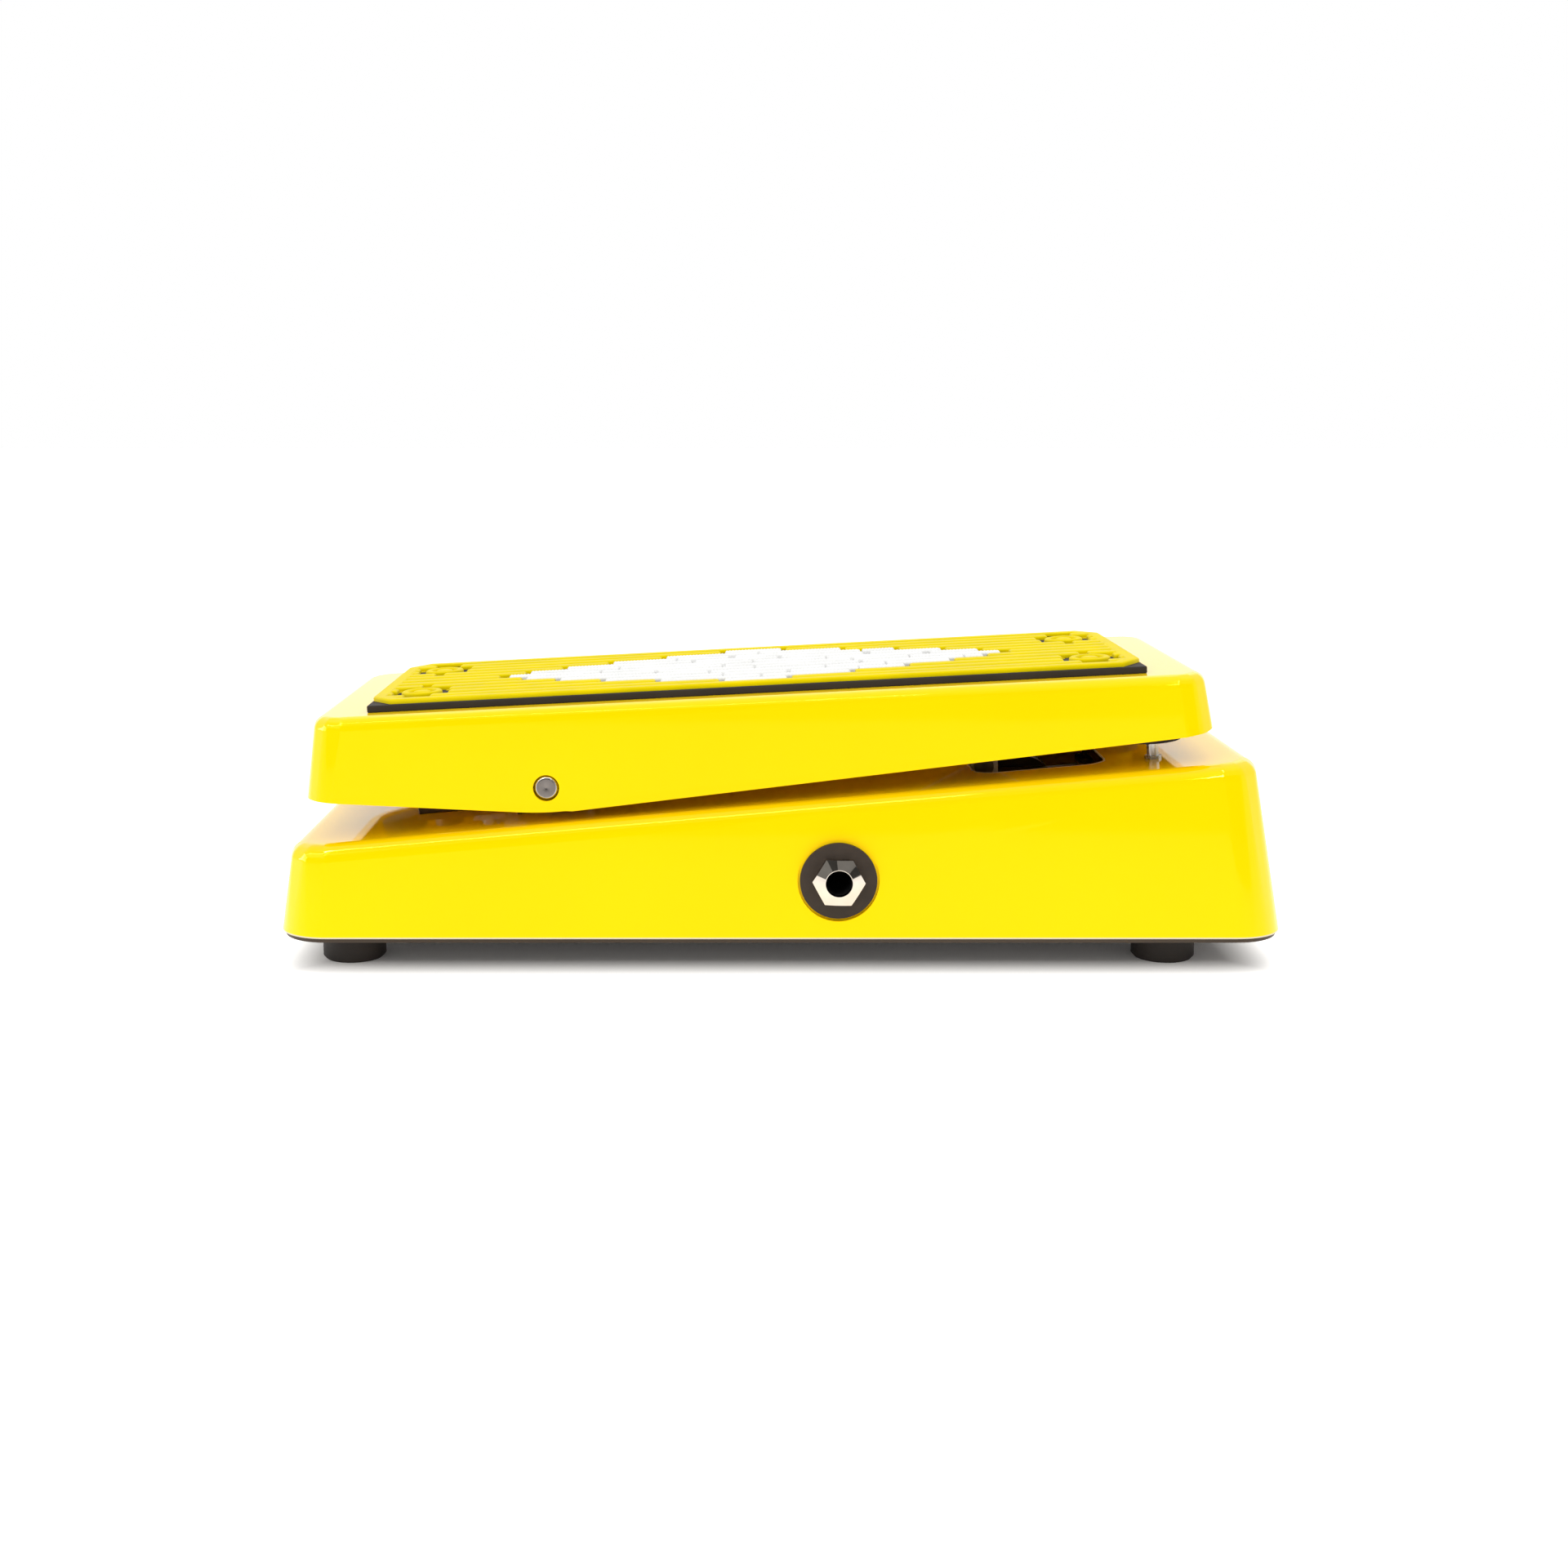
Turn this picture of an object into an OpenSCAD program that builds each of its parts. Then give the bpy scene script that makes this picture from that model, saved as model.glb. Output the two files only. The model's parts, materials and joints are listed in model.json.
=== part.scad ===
// Rocker volume pedal: cast base, rocking treadle, rack-and-pinion control, two side jacks.
// Millimetres. +X to the toe, +Y across, +Z up. Origin: middle of the outline, on the floor.

/* [Base] */
// Length of the base at its lower edge
base_len = 254; // [200:1:320]
// Width of the base at its lower edge
base_wid = 102; // [80:1:130]
// Height of the casting's lower edge above the floor
base_z0 = 9.2; // [6:0.1:16]
// Height of the base's top plane at mid length
base_mid_h = 42.4; // [35:0.1:60]
// Slope of the base's top plane, degrees
base_slope = 5.1; // [0:0.1:10]
// Draft of the long sides, degrees
side_draft = 6; // [1:0.5:10]
// Draft of the heel end, degrees
heel_draft = 8.3; // [1:0.1:15]
// Draft of the toe end, degrees
toe_draft = 9.9; // [1:0.1:15]
// Corner radius at the lower edge
corner_r = 13; // [6:0.5:20]
// Rounding of the top edge
top_r = 4.5; // [2:0.1:8]
// Wall of the base casting
base_wall = 3; // [2:0.1:5]

/* [Slot in the base] */
// Middle of the rack slot along the length
slot_x = 67; // [50:1:80]
// Length of the slot
slot_len = 34; // [30:1:45]
// Width of the slot across the base
slot_wid = 58; // [40:1:70]
// Corner radius of the slot
slot_r = 6; // [2:0.5:10]

/* [Treadle] */
// Height of the treadle's top plane above the origin
tread_mid_h = 69.1; // [60:0.1:90]
// Slope of the treadle's top plane, degrees
tread_slope = 2.95; // [0:0.05:10]
// Heel end of the treadle's top
tread_heel_x = -118; // [-130:0.5:-100]
// Toe end of the treadle's top
tread_toe_x = 106.6; // [90:0.2:125]
// Half width of the treadle at its top
tread_half = 43; // [36:0.5:50]
// Rounding of the treadle's top edge
tread_r = 3.5; // [2:0.1:6]
// Wall of the treadle casting
tread_wall = 2.8; // [2:0.1:4]

/* [Pivot] */
// Pivot axis along the length
pivot_x = -58.7; // [-80:0.1:-40]
// Pivot axis height
pivot_z = 46.15; // [40:0.05:55]
// Axle radius
axle_r = 3; // [2.5:0.05:4]
// Rocking travel, degrees
travel = 9.5; // [6:0.1:12]

/* [Rubber] */
// Length of the black rubber pad
pad_len = 196.2; // [150:0.5:220]
// Width of the black rubber pad
pad_wid = 71; // [50:0.5:84]
// Thickness of the black rubber pad
pad_t = 1.8; // [1:0.1:3]
// Length of the ribbed layer
rib_len = 195.4; // [150:0.5:210]
// Width of the ribbed layer
rib_wid = 69.2; // [50:0.5:80]
// Spacing of the ribs
rib_pitch = 5.4; // [3:0.1:8]
// Height of the ribbed layer above the pad
rib_h = 1.2; // [0.6:0.1:2]

/* [Feet] */
// Radius of a foot
foot_r = 8; // [6:0.5:12]
// Height of a foot
foot_h = 8; // [5:0.5:12]

/* [Control] */
// Pitch radius of the rack's arc
rack_r = 120; // [110:0.5:125]
// Teeth on the pinion
pinion_n = 12; // [10:1:16]
// Angle of the pinion below the pivot's level, degrees
mesh_a = 5.5; // [4:0.1:8]

/* [Jacks] */
// Jack axis along the length
jack_x = 14.1; // [0:0.1:40]
// Far jack axis along the length
far_jack_x = 4.1; // [0:0.1:40]
// Jack axis height
jack_z = 23.8; // [20:0.1:30]
// Radius of the plug bore
jack_bore_r = 3.35; // [3.2:0.05:3.5]

/* [Hidden] */
$fn = 48;
kb = tan(side_draft);
base_db = base_wid / 2 + kb * base_z0;
heel_sx = -base_len / 2 + 17.9 * tan(heel_draft) + top_r;
toe_sx = base_len / 2 - 38.6 * tan(toe_draft) - top_r;
function base_top(x) = base_mid_h + x * tan(base_slope);
heel_sz = base_top(heel_sx) - top_r / cos(base_slope);
toe_sz = base_top(toe_sx) - top_r / cos(base_slope);
function base_sy(z) = base_db - kb * z - top_r * sqrt(1 + kb * kb);

function tread_top(x) = tread_mid_h + x * tan(tread_slope);
kt = 0.066;
tl = 36;
tr = 9;
tread_bend = 5;
bend = 6.5;
th_x = tread_heel_x + tread_r;
tt_x = tread_toe_x - tread_r;
th_z = tread_top(th_x) - tread_r / cos(tread_slope);
tt_z = tread_top(tt_x) - tread_r / cos(tread_slope);
tc_y = tread_half - tread_r;
tm = -kt * (tt_z - th_z) / (tt_x - th_x);
td = tm * th_x + tc_y + kt * th_z + tread_r * sqrt(1 + kt * kt + tm * tm);
heel_bx = tread_heel_x - 2.7 + tr;
toe_bx = tread_toe_x + 7 - tr;
function tread_by(x) = td - tm * x - kt * tl - tr * sqrt(1 + tm * tm);

pad_x = -6.25;
stop_x = 95.7;
stop_y = 28;
stop_h = 4.9;
heel_stop_x = -106.5;
heel_stop_y = 24;
feet_xy = [[-110, 33.5], [-110, -33.5], [99, 33.5], [99, -33.5]];
foot_x = -72;
jack_face = 49;
pin_c = rack_r + pinion_n / 2;
pin_x = pivot_x + pin_c * cos(mesh_a);
pin_z = pivot_z - pin_c * sin(mesh_a);
pa = 20;

module on_base(x, y = 0) {
    translate([x, y, base_top(x)]) rotate([0, -base_slope, 0]) children();
}

module on_tread(x, y = 0) {
    translate([x, y, tread_top(x)]) rotate([0, -tread_slope, 0]) children();
}

module about_pivot(a) {
    translate([pivot_x, 0, pivot_z]) rotate([0, a, 0]) translate([-pivot_x, 0, -pivot_z]) children();
}

module ycyl(r, y0, y1, x, z) {
    translate([x, y0, z]) rotate([-90, 0, 0]) cylinder(r = r, h = y1 - y0);
}

module plate_xz(pts, y0, y1) {
    translate([0, y1, 0]) rotate([90, 0, 0]) linear_extrude(height = y1 - y0) polygon(pts);
}

// Screw with its head standing on z = 0 and its shank going down.
module screw(hr, hh, sr, len) {
    difference() {
        union() {
            cylinder(r = hr, h = hh);
            translate([0, 0, -len]) cylinder(r = sr, h = len + 0.01);
        }
        translate([-hr * 0.6, -0.4, hh * 0.45]) cube([hr * 1.2, 0.8, hh]);
        translate([-0.4, -hr * 0.6, hh * 0.45]) cube([0.8, hr * 1.2, hh]);
    }
}

module base_form(w) {
    hull() {
        for (sx = [-1, 1]) {
            for (sy = [-1, 1]) {
                translate([sx * (base_len / 2 - corner_r), sy * (base_wid / 2 - corner_r), base_z0 - w / 4])
                    cylinder(r = corner_r - w, h = 0.1, $fn = 64);
            }
        }
        for (sy = [-1, 1]) {
            for (a = [0:30:90]) {
                let (x = heel_sx + bend * (1 - cos(a)), z = base_top(x) - top_r / cos(base_slope))
                    translate([x, sy * (base_sy(z) - bend * (1 - sin(a))), z])
                        sphere(r = top_r - w, $fn = w > 0 ? 16 : 36);
                let (x = toe_sx - bend * (1 - cos(a)), z = base_top(x) - top_r / cos(base_slope))
                    translate([x, sy * (base_sy(z) - bend * (1 - sin(a))), z])
                        sphere(r = top_r - w, $fn = w > 0 ? 16 : 36);
            }
        }
    }
}

module slot_prism(grow, w0, w1) {
    on_base(slot_x) {
        for (sx = [-1, 1]) {
            for (sy = [-1, 1]) {
                translate([sx * (slot_len / 2 - slot_r), sy * (slot_wid / 2 - slot_r), w0])
                    cylinder(r = slot_r + grow, h = w1 - w0);
            }
        }
        translate([-slot_len / 2 - grow, -slot_wid / 2 + slot_r, w0])
            cube([slot_len + 2 * grow, slot_wid - 2 * slot_r, w1 - w0]);
        translate([-slot_len / 2 + slot_r, -slot_wid / 2 - grow, w0])
            cube([slot_len - 2 * slot_r, slot_wid + 2 * grow, w1 - w0]);
    }
}

module base_housing() {
    color("#f2dc00") difference() {
        union() {
            difference() {
                base_form(0);
                base_form(base_wall);
            }
            for (p = feet_xy) {
                translate([p[0], p[1], base_z0]) cylinder(r = 5, h = base_top(p[0] - 5) - 1.6 - base_z0);
            }
            for (s = [-1, 1]) {
                translate([s > 0 ? far_jack_x : jack_x, s * 46.35, 0]) ycyl(11.5, -1.55, 1.55, 0, jack_z);
                for (u = [-16, 16]) {
                    on_base(foot_x, s * (u < 0 ? 13 : 20)) translate([u, 0, -10]) cylinder(r = 4.5, h = 9);
                }
                on_base(stop_x, s * stop_y) translate([0, 0, -9]) cylinder(r = 4, h = 8);
            }
            for (x = [89, 99]) {
                on_base(x, 15) translate([0, 0, -7]) cylinder(r = 4, h = 6);
            }
        }
        slot_prism(0, -5, 5);
        for (p = feet_xy) {
            translate([p[0], p[1], base_z0 - 1]) cylinder(r = 2.1, h = 14);
        }
        for (s = [-1, 1]) {
            translate([s > 0 ? far_jack_x : jack_x, s * (jack_face + 5), 0]) ycyl(10.2, -5, 5, 0, jack_z);
            translate([s > 0 ? far_jack_x : jack_x, s * 46, 0]) ycyl(4.8, -6, 6, 0, jack_z);
            for (u = [-16, 16]) {
                on_base(foot_x, s * (u < 0 ? 13 : 20)) translate([u, 0, -9]) cylinder(r = 2.1, h = 12);
            }
            on_base(stop_x, s * stop_y) translate([0, 0, -8]) cylinder(r = 1.55, h = 12);
        }
        for (x = [89, 99]) {
            on_base(x, 15) translate([0, 0, -8]) cylinder(r = 1.6, h = 6);
        }
    }
}

module bottom_plate() {
    color("#8d8f92") difference() {
        union() {
            for (sx = [-1, 1]) {
                for (sy = [-1, 1]) {
                    translate([sx * (base_len / 2 - corner_r), sy * (base_wid / 2 - corner_r), foot_h])
                        cylinder(r = corner_r - 0.8, h = base_z0 - foot_h);
                }
            }
            translate([-base_len / 2 + 0.8, -base_wid / 2 + corner_r, foot_h])
                cube([base_len - 1.6, base_wid - 2 * corner_r, base_z0 - foot_h]);
            translate([-base_len / 2 + corner_r, -base_wid / 2 + 0.8, foot_h])
                cube([base_len - 2 * corner_r, base_wid - 1.6, base_z0 - foot_h]);
        }
        for (p = feet_xy) {
            translate([p[0], p[1], foot_h - 1]) cylinder(r = 2.1, h = 4);
        }
    }
}

module rubber_feet() {
    color("#2a2624") for (p = feet_xy) {
        translate([p[0], p[1], 0]) difference() {
            union() {
                cylinder(r1 = foot_r - 0.7, r2 = foot_r, h = 0.8);
                translate([0, 0, 0.8]) cylinder(r = foot_r, h = foot_h - 0.8);
            }
            translate([0, 0, -1]) cylinder(r = 4.4, h = 5);
            cylinder(r = 2.1, h = foot_h + 1);
        }
    }
}

module foot_screws() {
    color("#b9b9b9") for (p = feet_xy) {
        translate([p[0], p[1], 4]) rotate([180, 0, 0]) screw(3.8, 2.2, 2, 15);
    }
}

module tread_form(w) {
    hull() {
        for (sy = [-1, 1]) {
            translate([heel_bx, sy * tread_by(heel_bx), tl - w / 2]) cylinder(r = tr - w, h = 0.1, $fn = 48);
            translate([toe_bx, sy * tread_by(toe_bx), tl - w / 2]) cylinder(r = tr - w, h = 0.1, $fn = 48);
            for (a = [0:30:90]) {
                let (x = th_x + tread_bend * (1 - cos(a)), z = tread_top(x) - tread_r / cos(tread_slope))
                    translate([x, sy * (tc_y - tread_bend * (1 - sin(a))), z])
                        sphere(r = tread_r - w, $fn = w > 0 ? 16 : 32);
                let (x = tt_x - tread_bend * (1 - cos(a)), z = tread_top(x) - tread_r / cos(tread_slope))
                    translate([x, sy * (tc_y - tread_bend * (1 - sin(a))), z])
                        sphere(r = tread_r - w, $fn = w > 0 ? 16 : 32);
            }
        }
    }
}

rim = concat(
    [[-140, 0], [-140, 43.5], [-65.5, 40.11]],
    [for (i = [1:7]) let (a = -92.6 + i * 1.19) [-61.9 + 80 * cos(a), 120.04 + 80 * sin(a)]],
    [[-52.2, 40.38], [100, 58.87], [106, 59.9], [110, 61.2], [114, 63.2], [140, 63.2], [140, 0]]);

module treadle() {
    color("#f2dc00") difference() {
        union() {
            difference() {
                tread_form(0);
                tread_form(tread_wall);
                plate_xz(rim, -60, 60);
            }
            for (s = [-1, 1]) {
                translate([0, s * 36.2, 0]) ycyl(6.2, -6.2, 6.2, pivot_x, pivot_z);
                translate([pivot_x - 3, s * 36.2 - 6.2, pivot_z]) cube([6, 12.4, 18]);
                on_base(stop_x, s * stop_y) translate([0, 0, stop_h + 2.86]) cylinder(r = 5.5, h = 14.2);
                about_pivot(travel) on_base(heel_stop_x, s * heel_stop_y)
                    translate([0, 0, 4.15]) cylinder(r = 5, h = 17);
            }
            for (x = [44, 58]) {
                on_tread(x, 11) translate([0, 0, -8]) cylinder(r = 4.2, h = 7);
            }
        }
        for (s = [-1, 1]) {
            translate([0, s * 44.6, 0]) ycyl(3.27, -4, 4, pivot_x, pivot_z);
            translate([0, s * 36.2, 0]) ycyl(axle_r + 0.03, -7, 7, pivot_x, pivot_z);
            translate([pivot_x, s * 34, pivot_z - 8]) cylinder(r = 1.5, h = 8);
        }
        for (x = [44, 58]) {
            on_tread(x, 11) translate([0, 0, -9]) cylinder(r = 1.6, h = 7);
        }
    }
}

function oct(l, w, cx, cy) = [
    [-l / 2 + cx, -w / 2], [l / 2 - cx, -w / 2], [l / 2, -w / 2 + cy], [l / 2, w / 2 - cy],
    [l / 2 - cx, w / 2], [-l / 2 + cx, w / 2], [-l / 2, w / 2 - cy], [-l / 2, -w / 2 + cy]];

function seg_half(y) = 66 * (1 - pow(min(1, abs(y) / 30.5), 1.5));
rib_n = 5;
boss_r = 5.3;
boss_gap = 1.6;

module tread_pad() {
    color("#3a302b") on_tread(pad_x)
        translate([-pad_len / 2, -pad_wid / 2, 0]) cube([pad_len, pad_wid, pad_t]);
}

module tread_ribs() {
    color("#e8cf00") on_tread(pad_x) translate([0, 0, pad_t]) difference() {
        union() {
            linear_extrude(height = 0.35) polygon(oct(rib_len, rib_wid, 5.4, 7));
            difference() {
                linear_extrude(height = rib_h) polygon(oct(rib_len, rib_wid, 5.4, 7));
                translate([0, 0, -1]) linear_extrude(height = 4)
                    polygon(oct(rib_len - 6.4, rib_wid - 6.4, 4.2, 5.4));
            }
            for (i = [-rib_n:rib_n]) {
                translate([-rib_len / 2 + 4.2, i * rib_pitch - 2.1, 0]) cube([rib_len - 8.4, 4.2, rib_h]);
            }
        }
        for (i = [-rib_n:rib_n]) {
            translate([-seg_half(i * rib_pitch) - 1, (i - 0.5) * rib_pitch, -1])
                cube([2 * seg_half(i * rib_pitch) + 2, rib_pitch, 4]);
        }
        for (x = [-86.5, 86.5]) {
            for (y = [-20, 20]) {
                translate([x, y, -1]) cylinder(r = boss_r + boss_gap, h = 4);
            }
        }
    }
}

module tread_motif() {
    color("#f4f4f2") on_tread(pad_x) for (i = [-rib_n:rib_n]) {
        translate([-seg_half(i * rib_pitch), i * rib_pitch - 2.1, pad_t])
            cube([2 * seg_half(i * rib_pitch), 4.2, rib_h]);
    }
}

module tread_bosses() {
    color("#e8cf00") on_tread(pad_x) translate([0, 0, pad_t]) for (x = [-86.5, 86.5]) {
        for (y = [-20, 20]) {
            translate([x, y, 0]) difference() {
                cylinder(r = boss_r, h = rib_h);
                translate([0, 0, 0.4]) cylinder(r = boss_r - 1.3, h = 1);
            }
            translate([x, y, 0.4]) cylinder(r = 2.4, h = rib_h - 0.4);
        }
    }
}

pu = (pivot_x - foot_x) * cos(base_slope) + (pivot_z - base_top(foot_x)) * sin(base_slope);
pw = -(pivot_x - foot_x) * sin(base_slope) + (pivot_z - base_top(foot_x)) * cos(base_slope);

module hinge_bracket() {
    color("#9d9992") on_base(foot_x) difference() {
        union() {
            translate([-23, -18, 0]) cube([28, 36, 1.8]);
            translate([4.4, -29, 0]) cube([17.6, 58, 1.8]);
            for (s = [-1, 1]) {
                translate([pu - 7.5, s * 28 - 1, 0]) cube([15, 2, pw]);
                translate([0, s * 28, 0]) ycyl(7.5, -1, 1, pu, pw);
            }
        }
        for (s = [-1, 1]) {
            translate([0, s * 28, 0]) ycyl(4.5, -2, 2, pu, pw);
            for (u = [-16, 16]) {
                translate([u, s * (u < 0 ? 13 : 20), -1]) cylinder(r = 2.1, h = 4);
            }
            translate([-5, s * 10, -1]) cylinder(r = 1.6, h = 4);
        }
    }
}

module hinge_screws() {
    color("#c4c4c4") on_base(foot_x) for (s = [-1, 1]) {
        for (u = [-16, 16]) {
            translate([u, s * (u < 0 ? 13 : 20), 1.8]) screw(3.7, 2.2, 2, 10);
        }
    }
}

module pivot_bushings() {
    color("#b08a45") for (s = [-1, 1]) {
        translate([0, s * 28, 0]) difference() {
            union() {
                ycyl(4.5, s > 0 ? -2.5 : -1, s > 0 ? 1 : 2.5, pivot_x, pivot_z);
                ycyl(5.6, s > 0 ? -2 : 1, s > 0 ? -1 : 2, pivot_x, pivot_z);
            }
            ycyl(axle_r + 0.03, -5, 5, pivot_x, pivot_z);
        }
    }
}

module pivot_axle() {
    color("#9a9086") translate([pivot_x, 0, pivot_z]) rotate([-90, 0, 0]) union() {
        translate([0, 0, -43.4]) cylinder(r = axle_r, h = 86.8);
        translate([0, 0, 43.4]) cylinder(r1 = axle_r, r2 = axle_r - 0.45, h = 0.45);
        translate([0, 0, -43.85]) cylinder(r1 = axle_r - 0.45, r2 = axle_r, h = 0.45);
    }
}

module axle_set_screws() {
    color("#2c2c2e") for (s = [-1, 1]) {
        translate([pivot_x, s * 34, pivot_z - 6.4]) difference() {
            cylinder(r = 1.45, h = 3.4);
            translate([0, 0, -0.5]) cylinder(r = 0.8, h = 1.8, $fn = 6);
        }
    }
}

module friction_clamp() {
    color("#dcd8cc") on_base(foot_x) difference() {
        union() {
            ycyl(7, -5, 5, pu, pw);
            translate([pu - 6, -5, 1.8]) cube([12, 10, pw - 1.8]);
            translate([-9.5, -14, 1.8]) cube([8.5, 28, 2]);
            translate([-9.5, -5, 1.8]) cube([pu + 5, 10, 2]);
            translate([pu - 17, -5, pw + 0.6]) cube([16, 10, 3]);
            translate([pu - 17, -5, pw - 3.6]) cube([16, 10, 3]);
        }
        ycyl(axle_r + 0.03, -8, 8, pu, pw);
        translate([pu - 20, -6, pw - 0.6]) cube([20, 12, 1.2]);
        translate([pu - 13.5, 0, 3.9]) cylinder(r = 1.6, h = 20);
        for (s = [-1, 1]) {
            translate([-5, s * 10, -1]) cylinder(r = 1.6, h = 8);
        }
    }
}

module clamp_screws() {
    color("#c4c4c4") on_base(foot_x) for (s = [-1, 1]) {
        translate([-5, s * 10, 3.8]) screw(2.8, 1.8, 1.5, 3.7);
    }
}

module tension_screw() {
    color("#c4c4c4") on_base(foot_x) translate([pu - 13.5, 0, pw + 3.6]) screw(3, 2.2, 1.5, 8.5);
}

module tension_nut() {
    color("#c4c4c4") on_base(foot_x) translate([pu - 13.5, 0, pw - 5.02]) difference() {
        cylinder(r = 3.2, h = 1.4, $fn = 6);
        translate([0, 0, -1]) cylinder(r = 1.55, h = 4);
    }
}

module toe_stop_studs() {
    color("#cfcfcf") for (s = [-1, 1]) {
        on_base(stop_x, s * stop_y) union() {
            translate([0, 0, -7.5]) cylinder(r = 1.5, h = 7.5 + stop_h);
            cylinder(r = 2.2, h = 0.8, $fn = 6);
        }
    }
}

module toe_bumpers() {
    color("#26211f") for (s = [-1, 1]) {
        on_base(stop_x, s * stop_y) translate([0, 0, stop_h + 0.02]) cylinder(r = 7.2, h = 2.8);
    }
}

module heel_bumpers() {
    color("#26211f") about_pivot(travel) for (s = [-1, 1]) {
        on_base(heel_stop_x, s * heel_stop_y) translate([0, 0, 0.15]) cylinder(r = 6, h = 4);
    }
}

// Involute helpers; angles in degrees.
function inv_d(a) = tan(a) * 180 / PI - a;
function half_a(n, q) = 90 / n + inv_d(pa) - inv_d(acos(min(1, n / 2 * cos(pa) / q))) - 4.2 / n;
function tooth(n, c, rr) = [
    for (q = rr) let (h = half_a(n, max(q, n / 2 * cos(pa) + 0.001))) [q * cos(c - h), q * sin(c - h)],
    for (i = [len(rr) - 1:-1:0]) let (q = rr[i], h = half_a(n, max(q, n / 2 * cos(pa) + 0.001)))
        [q * cos(c + h), q * sin(c + h)]];
rack_n = 2 * rack_r;
rack_p = 360 / rack_n;
rack_rr = [rack_r - 1.25, rack_r - 0.7, rack_r - 0.2, rack_r + 0.25, rack_r + 0.7];
pin_q = pinion_n / 2;
pin_rr = [pin_q - 1.1, pin_q - 0.36, pin_q - 0.1, pin_q + 0.3, pin_q + 0.6, pin_q + 0.88];
rack_pts = concat(
    [for (i = [0:8]) let (a = -16.4 + i * 1.75) [110.5 * cos(a), 110.5 * sin(a)]],
    [[112, 2], [118, 2]],
    [for (j = [0:8]) each [for (i = [9:-1:0])
        let (t = tooth(rack_n, -mesh_a + rack_p * (1.5 - j), rack_rr)) t[i]]],
    [[(rack_r - 1.25) * cos(16.4), -(rack_r - 1.25) * sin(16.4)]]);

module gear_rack() {
    color("#e9e5da") difference() {
        translate([pivot_x, 0, pivot_z]) plate_xz(rack_pts, -1.6, 2);
        for (a = [-12, -1.2]) {
            ycyl(1.55, -4, 4, pivot_x + 114.6 * cos(a), pivot_z + 114.6 * sin(a));
        }
    }
}

arm_pts = concat(
    [for (i = [0:7]) let (a = -14.5 + i * 2) [pivot_x + 111.2 * cos(a), pivot_z + 111.2 * sin(a)]],
    [[53.2, 50.5], [36, 56], [36, 61.4], [66, 62.95], [66, 59], [59.2, 54]],
    [for (i = [7:-1:0]) let (a = -14.5 + i * 2) [pivot_x + 117.4 * cos(a), pivot_z + 117.4 * sin(a)]]);

module rack_arm() {
    color("#b4b4b4") difference() {
        union() {
            plate_xz(arm_pts, 2, 4);
            on_tread(51, 0) translate([-15, 2, -10]) cube([30, 15, 2]);
        }
        for (a = [-12, -1.2]) {
            ycyl(1.55, 0, 6, pivot_x + 114.6 * cos(a), pivot_z + 114.6 * sin(a));
        }
        for (x = [44, 58]) {
            on_tread(x, 11) translate([0, 0, -12]) cylinder(r = 1.6, h = 6);
        }
    }
}

module arm_screws() {
    color("#c4c4c4") for (x = [44, 58]) {
        on_tread(x, 11) translate([0, 0, -10]) rotate([180, 0, 0]) screw(2.8, 1.8, 1.5, 7.5);
    }
}

module rack_rivets() {
    color("#c0c0c0") for (a = [-12, -1.2]) {
        translate([pivot_x + 114.6 * cos(a), 0, pivot_z + 114.6 * sin(a)]) rotate([-90, 0, 0]) union() {
            translate([0, 0, -1.6]) cylinder(r = 1.5, h = 5.6);
            translate([0, 0, -2.4]) cylinder(r = 2.6, h = 0.8);
            translate([0, 0, 4]) cylinder(r = 2.4, h = 0.8);
        }
    }
}

module pinion() {
    color("#c79a3c") difference() {
        union() {
            translate([pin_x, 0, pin_z]) plate_xz([for (i = [0:pinion_n - 1])
                each tooth(pinion_n, 180 - mesh_a + i * 360 / pinion_n, pin_rr)], -2.8, 3.2);
            ycyl(4.8, -8, -2.8, pin_x, pin_z);
        }
        ycyl(3, -10, 6, pin_x, pin_z);
        translate([pin_x, -5.5, pin_z]) cylinder(r = 1.1, h = 8);
    }
}

module pinion_set_screw() {
    color("#2c2c2e") translate([pin_x, -5.5, pin_z + 3.03]) difference() {
        cylinder(r = 1.05, h = 1.8);
        translate([0, 0, 1]) cylinder(r = 0.55, h = 1.5, $fn = 6);
    }
}

module pot_shaft() {
    color("#cfcfcf") ycyl(3, -8, 13.4, pin_x, pin_z);
}

module pot_wiper() {
    color("#c9a227") difference() {
        union() {
            ycyl(4.5, 11.2, 14.2, pin_x, pin_z);
            ycyl(8.6, 11.6, 12.4, pin_x, pin_z);
        }
        ycyl(3, 10, 13.4, pin_x, pin_z);
    }
}

module pot_body() {
    color("#c2c2c2") difference() {
        union() {
            ycyl(4.7, 3.8, 7.8, pin_x, pin_z);
            ycyl(11, 7.8, 9, pin_x, pin_z);
        }
        ycyl(3.05, 2, 12, pin_x, pin_z);
    }
}

module pot_element() {
    color("#6b3f1d") difference() {
        union() {
            ycyl(11, 9, 10.6, pin_x, pin_z);
            translate([pin_x - 9, 9, pin_z - 15]) cube([18, 1.6, 10]);
        }
        ycyl(3.05, 8, 12, pin_x, pin_z);
    }
}

module pot_lugs() {
    color("#cfcfcf") for (x = [-6, 0, 6]) {
        translate([pin_x + x - 1.2, 10.6, pin_z - 18]) difference() {
            cube([2.4, 0.5, 5.4]);
            translate([1.2, -1, 1.4]) rotate([-90, 0, 0]) cylinder(r = 0.6, h = 3);
        }
    }
}

module pot_can() {
    color("#b9bcc0") difference() {
        ycyl(11, 10.6, 18, pin_x, pin_z);
        ycyl(10.3, 10, 17.3, pin_x, pin_z);
    }
}

module pot_nut() {
    color("#c0c0c0") difference() {
        translate([pin_x, 4.2, pin_z]) rotate([-90, 0, 0]) cylinder(r = 6.8, h = 2, $fn = 6);
        ycyl(4.75, 3, 8, pin_x, pin_z);
    }
}

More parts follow.
